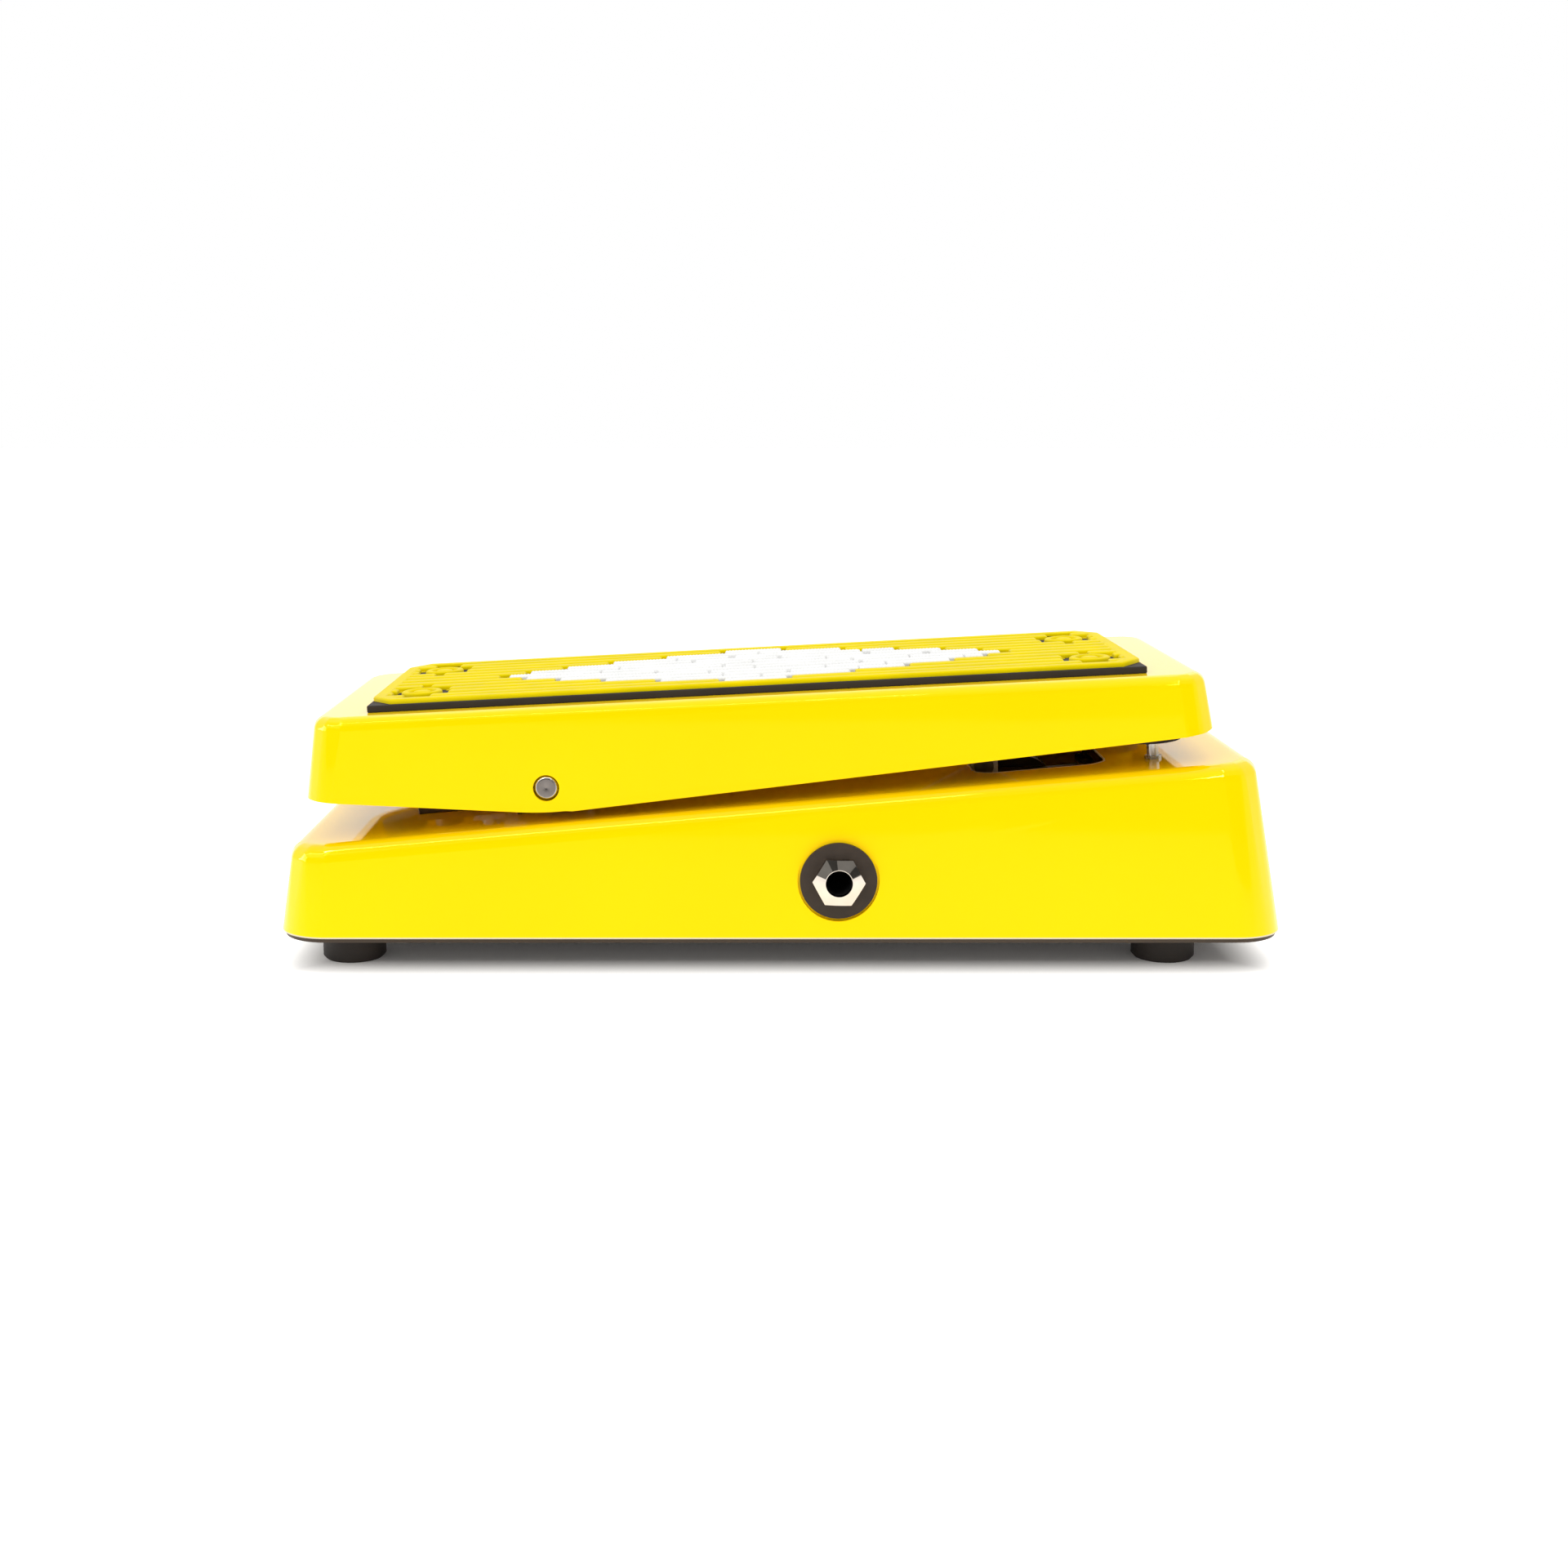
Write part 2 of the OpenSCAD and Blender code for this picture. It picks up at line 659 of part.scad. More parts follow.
brk_pts = [
    [pin_x - 8, pin_z - 8], [pin_x + 8, pin_z - 8], [102, base_top(102) - 16],
    [104, base_top(104) - 7.03], [84, base_top(84) - 7.03], [pin_x + 8, pin_z + 8], [pin_x - 8, pin_z + 8]];

module pot_bracket() {
    color("#a9a9a9") difference() {
        union() {
            plate_xz(brk_pts, 6.2, 7.8);
            on_base(94, 0) translate([-10, 6.2, -8.6]) cube([20, 15, 1.6]);
        }
        ycyl(4.75, 5, 9, pin_x, pin_z);
        for (x = [89, 99]) {
            on_base(x, 15) translate([0, 0, -12]) cylinder(r = 1.6, h = 6);
        }
    }
}

module pot_bracket_screws() {
    color("#c4c4c4") for (x = [89, 99]) {
        on_base(x, 15) translate([0, 0, -8.6]) rotate([180, 0, 0]) screw(2.8, 1.8, 1.5, 6);
    }
}

// The jacks are drawn for the -Y side and turned half round for the +Y side.
module jack_side(s) {
    translate([s > 0 ? far_jack_x : jack_x, 0, jack_z]) rotate([0, 0, s > 0 ? 180 : 0]) children();
}

module jack_body(s) {
    color("#1d1d1f") jack_side(s) difference() {
        union() {
            ycyl(4.7, -51, -44.8, 0, 0);
            translate([-8.5, -44.8, -8.5]) cube([17, 24, 17]);
        }
        ycyl(jack_bore_r, -60, -22, 0, 0);
        translate([-2, -42, 5]) cube([4, 18, 5]);
        translate([-2, -42, -10]) cube([4, 18, 5]);
    }
}

module jack_washer(s) {
    color("#40342c") jack_side(s) difference() {
        ycyl(9.6, -50, -49, 0, 0);
        ycyl(4.8, -52, -47, 0, 0);
    }
}

module jack_nut(s) {
    color("#d5d7da") jack_side(s) difference() {
        intersection() {
            translate([0, -50, 0]) rotate([90, 1.5, 0]) cylinder(r = 6.6, h = 3, $fn = 6);
            union() {
                ycyl(6.7, -51.7, -49.9, 0, 0);
                translate([0, -51.7, 0]) rotate([90, 0, 0]) cylinder(r1 = 6.7, r2 = 3.5, h = 1.3);
            }
        }
        ycyl(4.75, -51.1, -49, 0, 0);
        ycyl(jack_bore_r, -54, -50, 0, 0);
    }
}

module input_jack_body() {
    jack_body(-1);
}

module input_jack_washer() {
    jack_washer(-1);
}

module input_jack_nut() {
    jack_nut(-1);
}

module output_jack_body() {
    jack_body(1);
}

module output_jack_washer() {
    jack_washer(1);
}

module output_jack_nut() {
    jack_nut(1);
}

module jack_contacts() {
    color("#c9b06a") for (s = [-1, 1]) {
        jack_side(s) for (t = [-1, 1]) {
            translate([-1.5, -40, t * 6.6 - 0.3]) cube([3, 16, 0.6]);
            translate([-1.5, -24.6, t > 0 ? 6.3 : -10.8]) cube([3, 0.6, 4.5]);
        }
    }
}

// One wire: level and upright runs with a round joint at each bend.
module wire(p) {
    for (i = [0:len(p) - 2]) {
        d = p[i + 1] - p[i];
        l = norm(d);
        if (d[2] == 0) {
            translate(p[i]) rotate([0, 0, atan2(d[1], d[0])]) translate([0, -0.7, -0.7]) cube([l, 1.4, 1.4]);
        } else {
            translate([p[i][0], p[i][1], min(p[i][2], p[i + 1][2])]) cylinder(r = 0.75, h = abs(d[2]));
        }
    }
    for (i = [0:len(p) - 1]) {
        translate(p[i] - [0, 0, 0.85]) cylinder(r = 0.9, h = 1.7);
    }
}

module signal_wires() {
    color("#3f6fb0") union() {
        wire([[jack_x, -23, 14.3], [jack_x, -23, 10.4], [34, -22, 10.4], [52, 13, 10.4],
            [pin_x - 6, 12.2, 10.4],
            [pin_x - 6, 12.2, 16.4]]);
        wire([[far_jack_x, 23, 14.3], [far_jack_x, 23, 10.4], [36, 25, 10.4], [pin_x, 20, 10.4],
            [pin_x, 12.2, 10.4],
            [pin_x, 12.2, 16.4]]);
    }
}

module ground_wires() {
    color("#222222") union() {
        wire([[13.2, -22.8, 34.6], [13.2, -22.8, 37], [7, -8, 37], [5, 8, 37], [3.2, 22.8, 37],
            [3.2, 22.8, 34.6]]);
        wire([[6.4, 22.8, 34.6], [6.4, 22.8, 37], [46, 30, 37], [pin_x + 6, 21, 37], [pin_x + 6, 21, 17],
            [pin_x + 6, 12.2, 17]]);
    }
}

base_housing();
bottom_plate();
rubber_feet();
foot_screws();
treadle();
tread_pad();
tread_ribs();
tread_motif();
tread_bosses();
hinge_bracket();
hinge_screws();
pivot_bushings();
pivot_axle();
axle_set_screws();
friction_clamp();
clamp_screws();
tension_screw();
tension_nut();
toe_stop_studs();
toe_bumpers();
heel_bumpers();
gear_rack();
rack_arm();
arm_screws();
rack_rivets();
pinion();
pinion_set_screw();
pot_shaft();
pot_wiper();
pot_body();
pot_element();
pot_lugs();
pot_can();
pot_nut();
pot_bracket();
pot_bracket_screws();
input_jack_body();
input_jack_washer();
input_jack_nut();
output_jack_body();
output_jack_washer();
output_jack_nut();
jack_contacts();
signal_wires();
ground_wires();
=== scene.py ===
import json
import math
import random

import bmesh
import bpy
from mathutils import Matrix, Vector


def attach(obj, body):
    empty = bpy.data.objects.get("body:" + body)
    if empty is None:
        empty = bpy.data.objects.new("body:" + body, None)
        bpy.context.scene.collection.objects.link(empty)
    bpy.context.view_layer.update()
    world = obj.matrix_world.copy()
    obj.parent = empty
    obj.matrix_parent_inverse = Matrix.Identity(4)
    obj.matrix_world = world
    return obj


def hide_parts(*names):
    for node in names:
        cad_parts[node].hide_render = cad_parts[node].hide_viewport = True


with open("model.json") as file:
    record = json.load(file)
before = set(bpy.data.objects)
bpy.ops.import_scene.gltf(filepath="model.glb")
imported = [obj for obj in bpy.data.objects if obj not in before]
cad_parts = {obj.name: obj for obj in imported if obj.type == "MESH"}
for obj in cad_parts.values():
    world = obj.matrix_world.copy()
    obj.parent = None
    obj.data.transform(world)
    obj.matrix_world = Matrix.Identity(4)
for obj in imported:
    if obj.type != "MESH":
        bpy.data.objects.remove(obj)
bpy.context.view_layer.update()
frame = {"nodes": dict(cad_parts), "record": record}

NODES = frame["nodes"]
random.seed(11)

# ---------------------------------------------------------------- camera and stage

scene = bpy.context.scene
scene.view_settings.view_transform = "Standard"
scene.view_settings.look = "None"
scene.view_settings.exposure = 0.0

cam_data = bpy.data.cameras.new("camera")
cam = bpy.data.objects.new("camera", cam_data)
scene.collection.objects.link(cam)
cam.location = (-0.0124, -0.510, 0.1395)
cam.rotation_euler = (math.radians(90 - 11.2), 0.0, 0.0)
cam_data.sensor_width = 36.0
cam_data.lens = 43.81
cam_data.shift_x = 0.0332
cam_data.clip_start = 0.01
cam_data.clip_end = 50.0
scene.camera = cam


def area(name, place, aim, size, size_y, power, color=(1, 1, 1)):
    data = bpy.data.lights.new(name, "AREA")
    data.shape = "RECTANGLE"
    data.size, data.size_y = size, size_y
    data.energy = power
    data.color = color
    lamp = bpy.data.objects.new(name, data)
    lamp.location = place
    lamp.rotation_euler = (Vector(aim) - Vector(place)).to_track_quat("-Z", "Y").to_euler()
    scene.collection.objects.link(lamp)
    return lamp


area("key_above", (0.05, 0.1, 1.2), (0, 0, 0), 1.6, 1.2, 4.2, (1.0, 0.99, 0.97))
area("front_left", (-0.9, -0.9, 0.9), (0, 0, 0.03), 0.9, 0.6, 2.6, (1.0, 0.99, 0.97))
area("back_fill", (0.1, 1.1, 0.9), (0, 0, 0.03), 1.4, 0.7, 1.6)

world = bpy.data.worlds.new("studio")
scene.world = world
world.use_nodes = True
world.node_tree.nodes["Background"].inputs[0].default_value = (1.0, 1.0, 1.0, 1)
world.node_tree.nodes["Background"].inputs[1].default_value = 1.0


# ---------------------------------------------------------------- node helpers

def new_mat(name):
    m = bpy.data.materials.new(name)
    m.use_nodes = True
    return m, m.node_tree.nodes, m.node_tree.links, m.node_tree.nodes["Principled BSDF"]


def add(nodes, kind, **kw):
    n = nodes.new(kind)
    for k, v in kw.items():
        if k in n.inputs:
            n.inputs[k].default_value = v
        else:
            setattr(n, k, v)
    return n


def coords(nodes, links, scale=(1, 1, 1), rot=(0, 0, 0), loc=(0, 0, 0)):
    tc = nodes.new("ShaderNodeTexCoord")
    mp = nodes.new("ShaderNodeMapping")
    mp.inputs["Scale"].default_value = scale
    mp.inputs["Rotation"].default_value = rot
    mp.inputs["Location"].default_value = loc
    links.new(tc.outputs["Object"], mp.inputs["Vector"])
    return mp.outputs["Vector"]


def noise(nodes, links, vec, scale, detail=3.0, rough=0.5):
    n = add(nodes, "ShaderNodeTexNoise", Scale=scale, Detail=detail, Roughness=rough)
    links.new(vec, n.inputs["Vector"])
    return n.outputs["Fac"]


def ramp(nodes, links, fac, stops):
    r = nodes.new("ShaderNodeValToRGB")
    while len(r.color_ramp.elements) < len(stops):
        r.color_ramp.elements.new(0.5)
    for e, (pos, col) in zip(r.color_ramp.elements, stops):
        e.position = pos
        e.color = col if len(col) == 4 else (*col, 1)
    links.new(fac, r.inputs["Fac"])
    return r.outputs["Color"]


def span(nodes, links, fac, lo, hi, a=0.3, b=0.7):
    r = nodes.new("ShaderNodeMapRange")
    r.inputs["From Min"].default_value = a
    r.inputs["From Max"].default_value = b
    r.inputs["To Min"].default_value = lo
    r.inputs["To Max"].default_value = hi
    links.new(fac, r.inputs["Value"])
    return r.outputs["Result"]


def bump(nodes, links, height, strength, distance, normal=None):
    b = nodes.new("ShaderNodeBump")
    b.inputs["Strength"].default_value = strength
    b.inputs["Distance"].default_value = distance
    links.new(height, b.inputs["Height"])
    if normal is not None:
        links.new(normal, b.inputs["Normal"])
    return b.outputs["Normal"]


def mottled(name, dark, light, rough, scale, bump_scale, bump_amount, metallic=0.0, coat=0.0, spec=0.5,
            coat_rough=0.05, stretch=(1, 1, 1), sheen=0.0):
    """Base material: two close tones, roughness that varies, and a fine bump."""
    m, nodes, links, p = new_mat(name)
    vec = coords(nodes, links, stretch)
    big = noise(nodes, links, vec, scale, 4.0)
    links.new(ramp(nodes, links, big, [(0.3, dark), (0.7, light)]), p.inputs["Base Color"])
    fine = noise(nodes, links, vec, bump_scale, 2.0, 0.6)
    links.new(span(nodes, links, big, rough[0], rough[1]), p.inputs["Roughness"])
    if bump_amount:
        links.new(bump(nodes, links, fine, 1.0, bump_amount), p.inputs["Normal"])
    p.inputs["Metallic"].default_value = metallic
    p.inputs["Coat Weight"].default_value = coat
    p.inputs["Coat Roughness"].default_value = coat_rough
    p.inputs["Specular IOR Level"].default_value = spec
    p.inputs["Sheen Weight"].default_value = sheen
    return m


# ---------------------------------------------------------------- materials

paint = mottled("yellow_paint", (0.97, 0.63, 0.0), (1.0, 0.652, 0.0), (0.035, 0.055), 18, 700, 0.000001,
                coat=0.10, coat_rough=0.03, spec=0.5)
paint.node_tree.nodes["Principled BSDF"].inputs["Specular Tint"].default_value = (1.0, 0.78, 0.02, 1)


def math_node(nodes, links, op, a, b=None):
    n = nodes.new("ShaderNodeMath")
    n.operation = op
    for k, v in enumerate((a, b)):
        if v is None:
            continue
        if isinstance(v, (int, float)):
            n.inputs[k].default_value = v
        else:
            links.new(v, n.inputs[k])
    return n.outputs[0]


# The slot and the top face of the base, in metres, as in the CAD model.
SLOT_X = 0.067
SLOT_HALF_L = 0.01693
SLOT_HALF_W = 0.029
SLOT_R = 0.006
TOP_SLOPE = 0.08925
TOP_Z = 0.0424
BASE_BOTTOM = 0.0092
# The hollow under the base's top: middle and half sizes.
HOLLOW_X = -0.003
HOLLOW_HALF_L = 0.113
HOLLOW_HALF_W = 0.044
# Widths of the bands of painted highlight and painted shade, in metres.
RIM = 0.00040
RIM_LONG_EDGE = 0.0009
LONG_EDGE_FROM = 0.003
SLOT_WALL = 0.0008
TOP_SKIN = 0.0009
LOWER_EDGE = 0.00035


def mix_color(nodes, links, mask, old, color):
    mix = nodes.new("ShaderNodeMix")
    mix.data_type = "RGBA"
    links.new(mask, mix.inputs["Factor"])
    links.new(old, mix.inputs[6])
    mix.inputs[7].default_value = (*color, 1)
    return mix.outputs[2]


def paint_light_and_shade_on_base(mat):
    """Paints light and shade onto the base: pale highlight lines on the slot's rim and the bottom edge, and
    dark shade on the slot's walls and in the hollow under the top.
    """
    nodes, links = mat.node_tree.nodes, mat.node_tree.links
    p = nodes["Principled BSDF"]
    tc = nodes.new("ShaderNodeTexCoord")
    sep = nodes.new("ShaderNodeSeparateXYZ")
    links.new(tc.outputs["Object"], sep.inputs[0])
    along, across, up = sep.outputs

    def calc(op, a, b=None):
        return math_node(nodes, links, op, a, b)

    def side(axis, middle, half_len):
        off = calc("ABSOLUTE", calc("SUBTRACT", axis, middle))
        return calc("SUBTRACT", off, half_len - SLOT_R)

    # Distance from the slot's rounded outline, negative inside it.
    qx, qy = side(along, SLOT_X, SLOT_HALF_L), side(across, 0.0, SLOT_HALF_W)
    px, py = (calc("MAXIMUM", q, 0.0) for q in (qx, qy))
    far = calc("SQRT", calc("ADD", calc("MULTIPLY", px, px), calc("MULTIPLY", py, py)))
    near = calc("MINIMUM", calc("MAXIMUM", qx, qy), 0.0)
    dist = calc("SUBTRACT", calc("ADD", far, near), SLOT_R)
    # Depth under the sloping top face.
    top = calc("ADD", calc("MULTIPLY", along, TOP_SLOPE), TOP_Z)
    deep = calc("SUBTRACT", top, up)
    # A pale line along the slot's rim, wider on the long edges: bare metal with a painted highlight.
    long_edge = calc("MULTIPLY", calc("LESS_THAN", dist, RIM_LONG_EDGE),
                     calc("GREATER_THAN", qy, LONG_EDGE_FROM))
    rim_highlight = calc("MAXIMUM", long_edge, calc("LESS_THAN", dist, RIM))
    # Dark brown on the slot's walls and inside the hollow under the top: painted shade, where the yellow paint
    # lies in shade.
    in_slot = calc("MULTIPLY", calc("LESS_THAN", dist, SLOT_WALL), calc("GREATER_THAN", deep, RIM))
    from_walls = calc("MAXIMUM",
                      calc("SUBTRACT", calc("ABSOLUTE", across), HOLLOW_HALF_W),
                      calc("SUBTRACT", calc("ABSOLUTE", calc("ADD", along, -HOLLOW_X)), HOLLOW_HALF_L))
    in_base = calc("MULTIPLY", calc("LESS_THAN", from_walls, 0.0), calc("GREATER_THAN", deep, TOP_SKIN))
    inside = calc("MAXIMUM", in_slot, in_base)
    # A pale band along the base's bottom edge: a painted highlight where the edge catches the floor's light.
    lower = calc("LESS_THAN", up, BASE_BOTTOM + LOWER_EDGE)
    color = p.inputs["Base Color"].links[0].from_socket
    color = mix_color(nodes, links, rim_highlight, color, (0.95, 0.92, 0.86))
    color = mix_color(nodes, links, inside, color, (0.035, 0.022, 0.012))
    color = mix_color(nodes, links, lower, color, (0.62, 0.58, 0.44))
    links.new(color, p.inputs["Base Color"])


base_paint = paint.copy()
base_paint.name = "base_paint"
paint_light_and_shade_on_base(base_paint)
black_rubber = mottled("black_rubber", (0.022, 0.0175, 0.0145), (0.034, 0.027, 0.0225), (0.62, 0.78), 60, 2600,
                       0.00004, spec=0.25)
yellow_rubber = mottled("yellow_rubber", (0.70, 0.56, 0.0), (0.78, 0.62, 0.0), (0.50, 0.62), 90, 2200,
                        0.00002, spec=0.10)
yellow_rubber.node_tree.nodes["Principled BSDF"].inputs["Specular Tint"].default_value = (1.0, 0.8, 0.03, 1)
steel = mottled("steel", (0.36, 0.33, 0.30), (0.50, 0.47, 0.43), (0.28, 0.40), 300, 3000, 0.00001,
                metallic=1.0)
zinc = mottled("zinc", (0.55, 0.55, 0.53), (0.68, 0.68, 0.67), (0.22, 0.36), 500, 2500, 0.00001,
               metallic=1.0)
# The bottom plate's steel is near-black brown: painted shade for the shadow under the base's edge.
plate_steel = mottled("plate_steel", (0.055, 0.043, 0.034), (0.085, 0.068, 0.055), (0.40, 0.52), 40, 500,
                      0.000012, metallic=1.0, stretch=(0.15, 3, 3))
black_steel = mottled("black_steel", (0.026, 0.023, 0.022), (0.04, 0.036, 0.034), (0.35, 0.5), 200, 1800,
                      0.00001, spec=0.5)
bronze = mottled("bronze", (0.42, 0.27, 0.12), (0.52, 0.35, 0.17), (0.35, 0.5), 500, 2600, 0.00001,
                 metallic=1.0)
brass = mottled("brass", (0.60, 0.42, 0.13), (0.74, 0.54, 0.20), (0.22, 0.34), 400, 2600, 0.000008,
                metallic=1.0)
chrome = mottled("chrome", (0.62, 0.56, 0.49), (0.70, 0.64, 0.56), (0.015, 0.03), 250, 1500, 0.0000003,
                 metallic=1.0)
washer_black = mottled("washer_black", (0.028, 0.0185, 0.012), (0.040, 0.0275, 0.019), (0.5, 0.66), 300, 3200,
                       0.00002, spec=0.25)
black_plastic = mottled("black_plastic", (0.012, 0.012, 0.013), (0.022, 0.022, 0.024), (0.35, 0.5), 150,
                        2500, 0.00002)
nylon = mottled("nylon", (0.66, 0.63, 0.54), (0.76, 0.73, 0.65), (0.38, 0.5), 90, 1600, 0.00002)
phenolic = mottled("phenolic", (0.13, 0.055, 0.018), (0.19, 0.085, 0.03), (0.4, 0.55), 300, 1800, 0.00002)
# Dark brown steel: painted shade for the hinge parts under the treadle.
bracket_shade_steel = mottled("bracket_shade_steel", (0.07, 0.045, 0.022), (0.11, 0.072, 0.038), (0.30, 0.42), 250, 2400,
                     0.00001, metallic=1.0)
wire_blue = mottled("wire_blue", (0.015, 0.06, 0.24), (0.02, 0.09, 0.33), (0.3, 0.4), 300, 1200, 0.00001)
wire_black = mottled("wire_black", (0.012, 0.012, 0.012), (0.022, 0.022, 0.022), (0.3, 0.4), 300, 1200,
                     0.00001)

SLOT_MAT = {
    "yellow_paint": paint, "black_rubber": black_rubber, "yellow_rubber": yellow_rubber, "steel": steel,
    "zinc_screw": zinc, "plate_steel": plate_steel, "black_steel": black_steel, "bronze": bronze,
    "brass": brass, "chrome": chrome, "washer_black": washer_black, "black_plastic": black_plastic,
    "nylon": nylon, "phenolic": phenolic, "wire_blue": wire_blue, "wire_black": wire_black,
    "white_rubber": yellow_rubber,
}
# The hinge bracket and its screws get this dark brown steel instead of their slots' steel and zinc: painted
# shade, as they sit in shade under the treadle.
NODE_MAT = {"base_housing": base_paint, "hinge_bracket": bracket_shade_steel, "hinge_screws": bracket_shade_steel}
for row in frame["record"]["subparts"]:
    obj = NODES.get(row["node"])
    if obj is None:
        continue
    mat = NODE_MAT.get(row["node"], SLOT_MAT[row["material_slot"]])
    if not obj.data.materials:
        obj.data.materials.append(mat)
    for i in range(len(obj.data.materials)):
        obj.data.materials[i] = mat

# ---------------------------------------------------------------- floor

# The floor glows from within outside the pedal's footprint, brightest just round it: painted light that keeps
# the shadow thin.
FOOT_HALF_X = 0.114
FOOT_HALF_Y = 0.038
GLOW_REACH = 1.2
GLOW = [(0.0, (0.02, 0.02, 0.02)), (0.005, (0.22, 0.216, 0.205)), (0.013, (0.62, 0.612, 0.595)),
        (0.05, (0.45, 0.45, 0.445)), (0.14, (0.25, 0.25, 0.25)), (1.0, (0.2, 0.2, 0.2))]

floor_mat, nodes, links, p = new_mat("floor")
p.inputs["Base Color"].default_value = (0.94, 0.925, 0.91, 1)
p.inputs["Roughness"].default_value = 0.9
p.inputs["Specular IOR Level"].default_value = 0.1
sep = nodes.new("ShaderNodeSeparateXYZ")
links.new(coords(nodes, links), sep.inputs[0])
beyond = [math_node(nodes, links, "SUBTRACT", math_node(nodes, links, "ABSOLUTE", sep.outputs[k]), half_size)
          for k, half_size in ((0, FOOT_HALF_X), (1, FOOT_HALF_Y))]
outside = math_node(nodes, links, "MAXIMUM", beyond[0], beyond[1])
links.new(ramp(nodes, links, span(nodes, links, outside, 0.0, 1.0, 0.0, GLOW_REACH), GLOW),
          p.inputs["Emission Color"])
p.inputs["Emission Strength"].default_value = 1.0
bm = bmesh.new()
bmesh.ops.create_grid(bm, x_segments=1, y_segments=1, size=6.0)
me = bpy.data.meshes.new("floor")
bm.to_mesh(me)
floor = bpy.data.objects.new("floor", me)
scene.collection.objects.link(floor)
floor.data.materials.append(floor_mat)


def panel(name, corners, shade):
    """A dark or bright panel round the set. Only glossy reflections see it."""
    fm, fnodes, flinks, fp = new_mat(name)
    fp.inputs["Base Color"].default_value = (0, 0, 0, 1)
    fp.inputs["Emission Color"].default_value = (1, 1, 1, 1)
    fp.inputs["Emission Strength"].default_value = shade
    me = bpy.data.meshes.new(name)
    me.from_pydata(corners, [], [(0, 1, 2, 3)])
    ob = bpy.data.objects.new(name, me)
    ob.data.materials.append(fm)
    scene.collection.objects.link(ob)
    ob.visible_camera = ob.visible_diffuse = ob.visible_shadow = ob.visible_transmission = False


def upright(name, x0, x1, y, z0, z1, shade):
    panel(name, [(x0, y, z0), (x1, y, z0), (x1, y, z1), (x0, y, z1)], shade)


upright("flag_grey", -2.8, 2.8, -2.0, 0.02, 2.1, 0.20)
upright("flag_black_left", -0.64, -0.04, -1.95, 0.10, 2.0, 0.003)
upright("flag_black_right", 1.35, 2.10, -1.95, 0.10, 2.0, 0.003)
upright("glow_back", -2.4, 2.4, 1.6, 0.05, 1.3, 1.15)
# Two steep strips over the camera make the bright patches on the castings' corners.
for side_name, x0, x1 in (("right", 0.335, 0.368), ("left", -0.53, -0.495)):
    panel("glow_strip_" + side_name,
          [(x0, -1.0, 0.92), (x1, -1.0, 0.92), (x1, -0.3, 1.35), (x0, -0.3, 1.35)], 60.0)
panel("glow_line", [(-1.9, -0.62, 1.28), (0.1, -0.62, 1.28), (0.1, -0.56, 1.3), (-1.9, -0.56, 1.3)], 16.0)
panel("glow_side_left", [(-1.6, -0.9, 0.1), (-1.6, 0.3, 0.1), (-1.6, 0.3, 0.9), (-1.6, -0.9, 0.9)], 7.0)

# ---------------------------------------------------------------- smooth castings

WELD = 0.000002

for name in ("base_housing", "treadle"):
    obj = NODES[name]
    for poly in obj.data.polygons:
        poly.use_smooth = True
    obj.modifiers.new("weld", "WELD").merge_threshold = WELD
    if name == "base_housing":
        rim = obj.modifiers.new("rim", "BEVEL")
        rim.width = 0.0003
        rim.segments = 2
        rim.limit_method = "ANGLE"
        rim.angle_limit = math.radians(70)
    split = obj.modifiers.new("split", "EDGE_SPLIT")
    split.split_angle = math.radians(32)
    even = obj.modifiers.new("even", "WEIGHTED_NORMAL")
    even.weight = 90
    even.keep_sharp = True

for name, width in (("tread_pad", 0.0003), ("bottom_plate", 0.0002), ("rubber_feet", 0.0004),
                    ("hinge_bracket", 0.0002), ("friction_clamp", 0.0003), ("rack_arm", 0.0002),
                    ("pot_bracket", 0.0002)):
    obj = NODES[name]
    obj.modifiers.new("weld", "WELD").merge_threshold = WELD
    bev = obj.modifiers.new("bevel", "BEVEL")
    bev.width = width
    bev.segments = 2
    bev.limit_method = "ANGLE"
    bev.angle_limit = math.radians(50)

# ---------------------------------------------------------------- tread

MM = 0.001
PAD_X = -6.25
SLOPE = math.radians(2.95)
PAD_Z = 69.1
TREAD = (Matrix.Translation((PAD_X * MM, 0, (PAD_Z + PAD_X * math.tan(SLOPE)) * MM))
         @ Matrix.Rotation(-SLOPE, 4, "Y"))
PAD_T = 1.8
RIB_H = 1.2
PITCH = 5.6
ROWS = [i * PITCH for i in range(-5, 6)]
BOSSES = [(x, y) for x in (-86.5, 86.5) for y in (-20.0, 20.0)]
BOSS_R = 5.3
# The ribbed layer's outline: half sizes, and the size of its cut corners.
LAYER_HALF_L = 97.7
LAYER_HALF_W = 34.6
CORNER_L = 5.4
CORNER_W = 7
FRAME_W = 3.2
# The white lens: half length, half width and how full it is.
LENS_HALF_L = 66
LENS_HALF_W = 30.5
LENS_POWER = 1.5


def piece(name, verts, faces, mat, body, smooth=True, matrix=TREAD):
    """Makes a mesh piece from points in millimetres in the given frame."""
    me = bpy.data.meshes.new(name)
    me.from_pydata([matrix @ (Vector(v) * MM) for v in verts], [], faces)
    me.validate()
    me.update()
    bm = bmesh.new()
    bm.from_mesh(me)
    bmesh.ops.recalc_face_normals(bm, faces=bm.faces)
    bm.to_mesh(me)
    bm.free()
    for poly in me.polygons:
        poly.use_smooth = smooth
    obj = bpy.data.objects.new(name, me)
    obj.data.materials.append(mat)
    scene.collection.objects.link(obj)
    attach(obj, body)
    return obj


def half(y):
    """Half length of the white segment in a row."""
    return LENS_HALF_L * (1 - min(1, abs(y) / LENS_HALF_W) ** LENS_POWER)


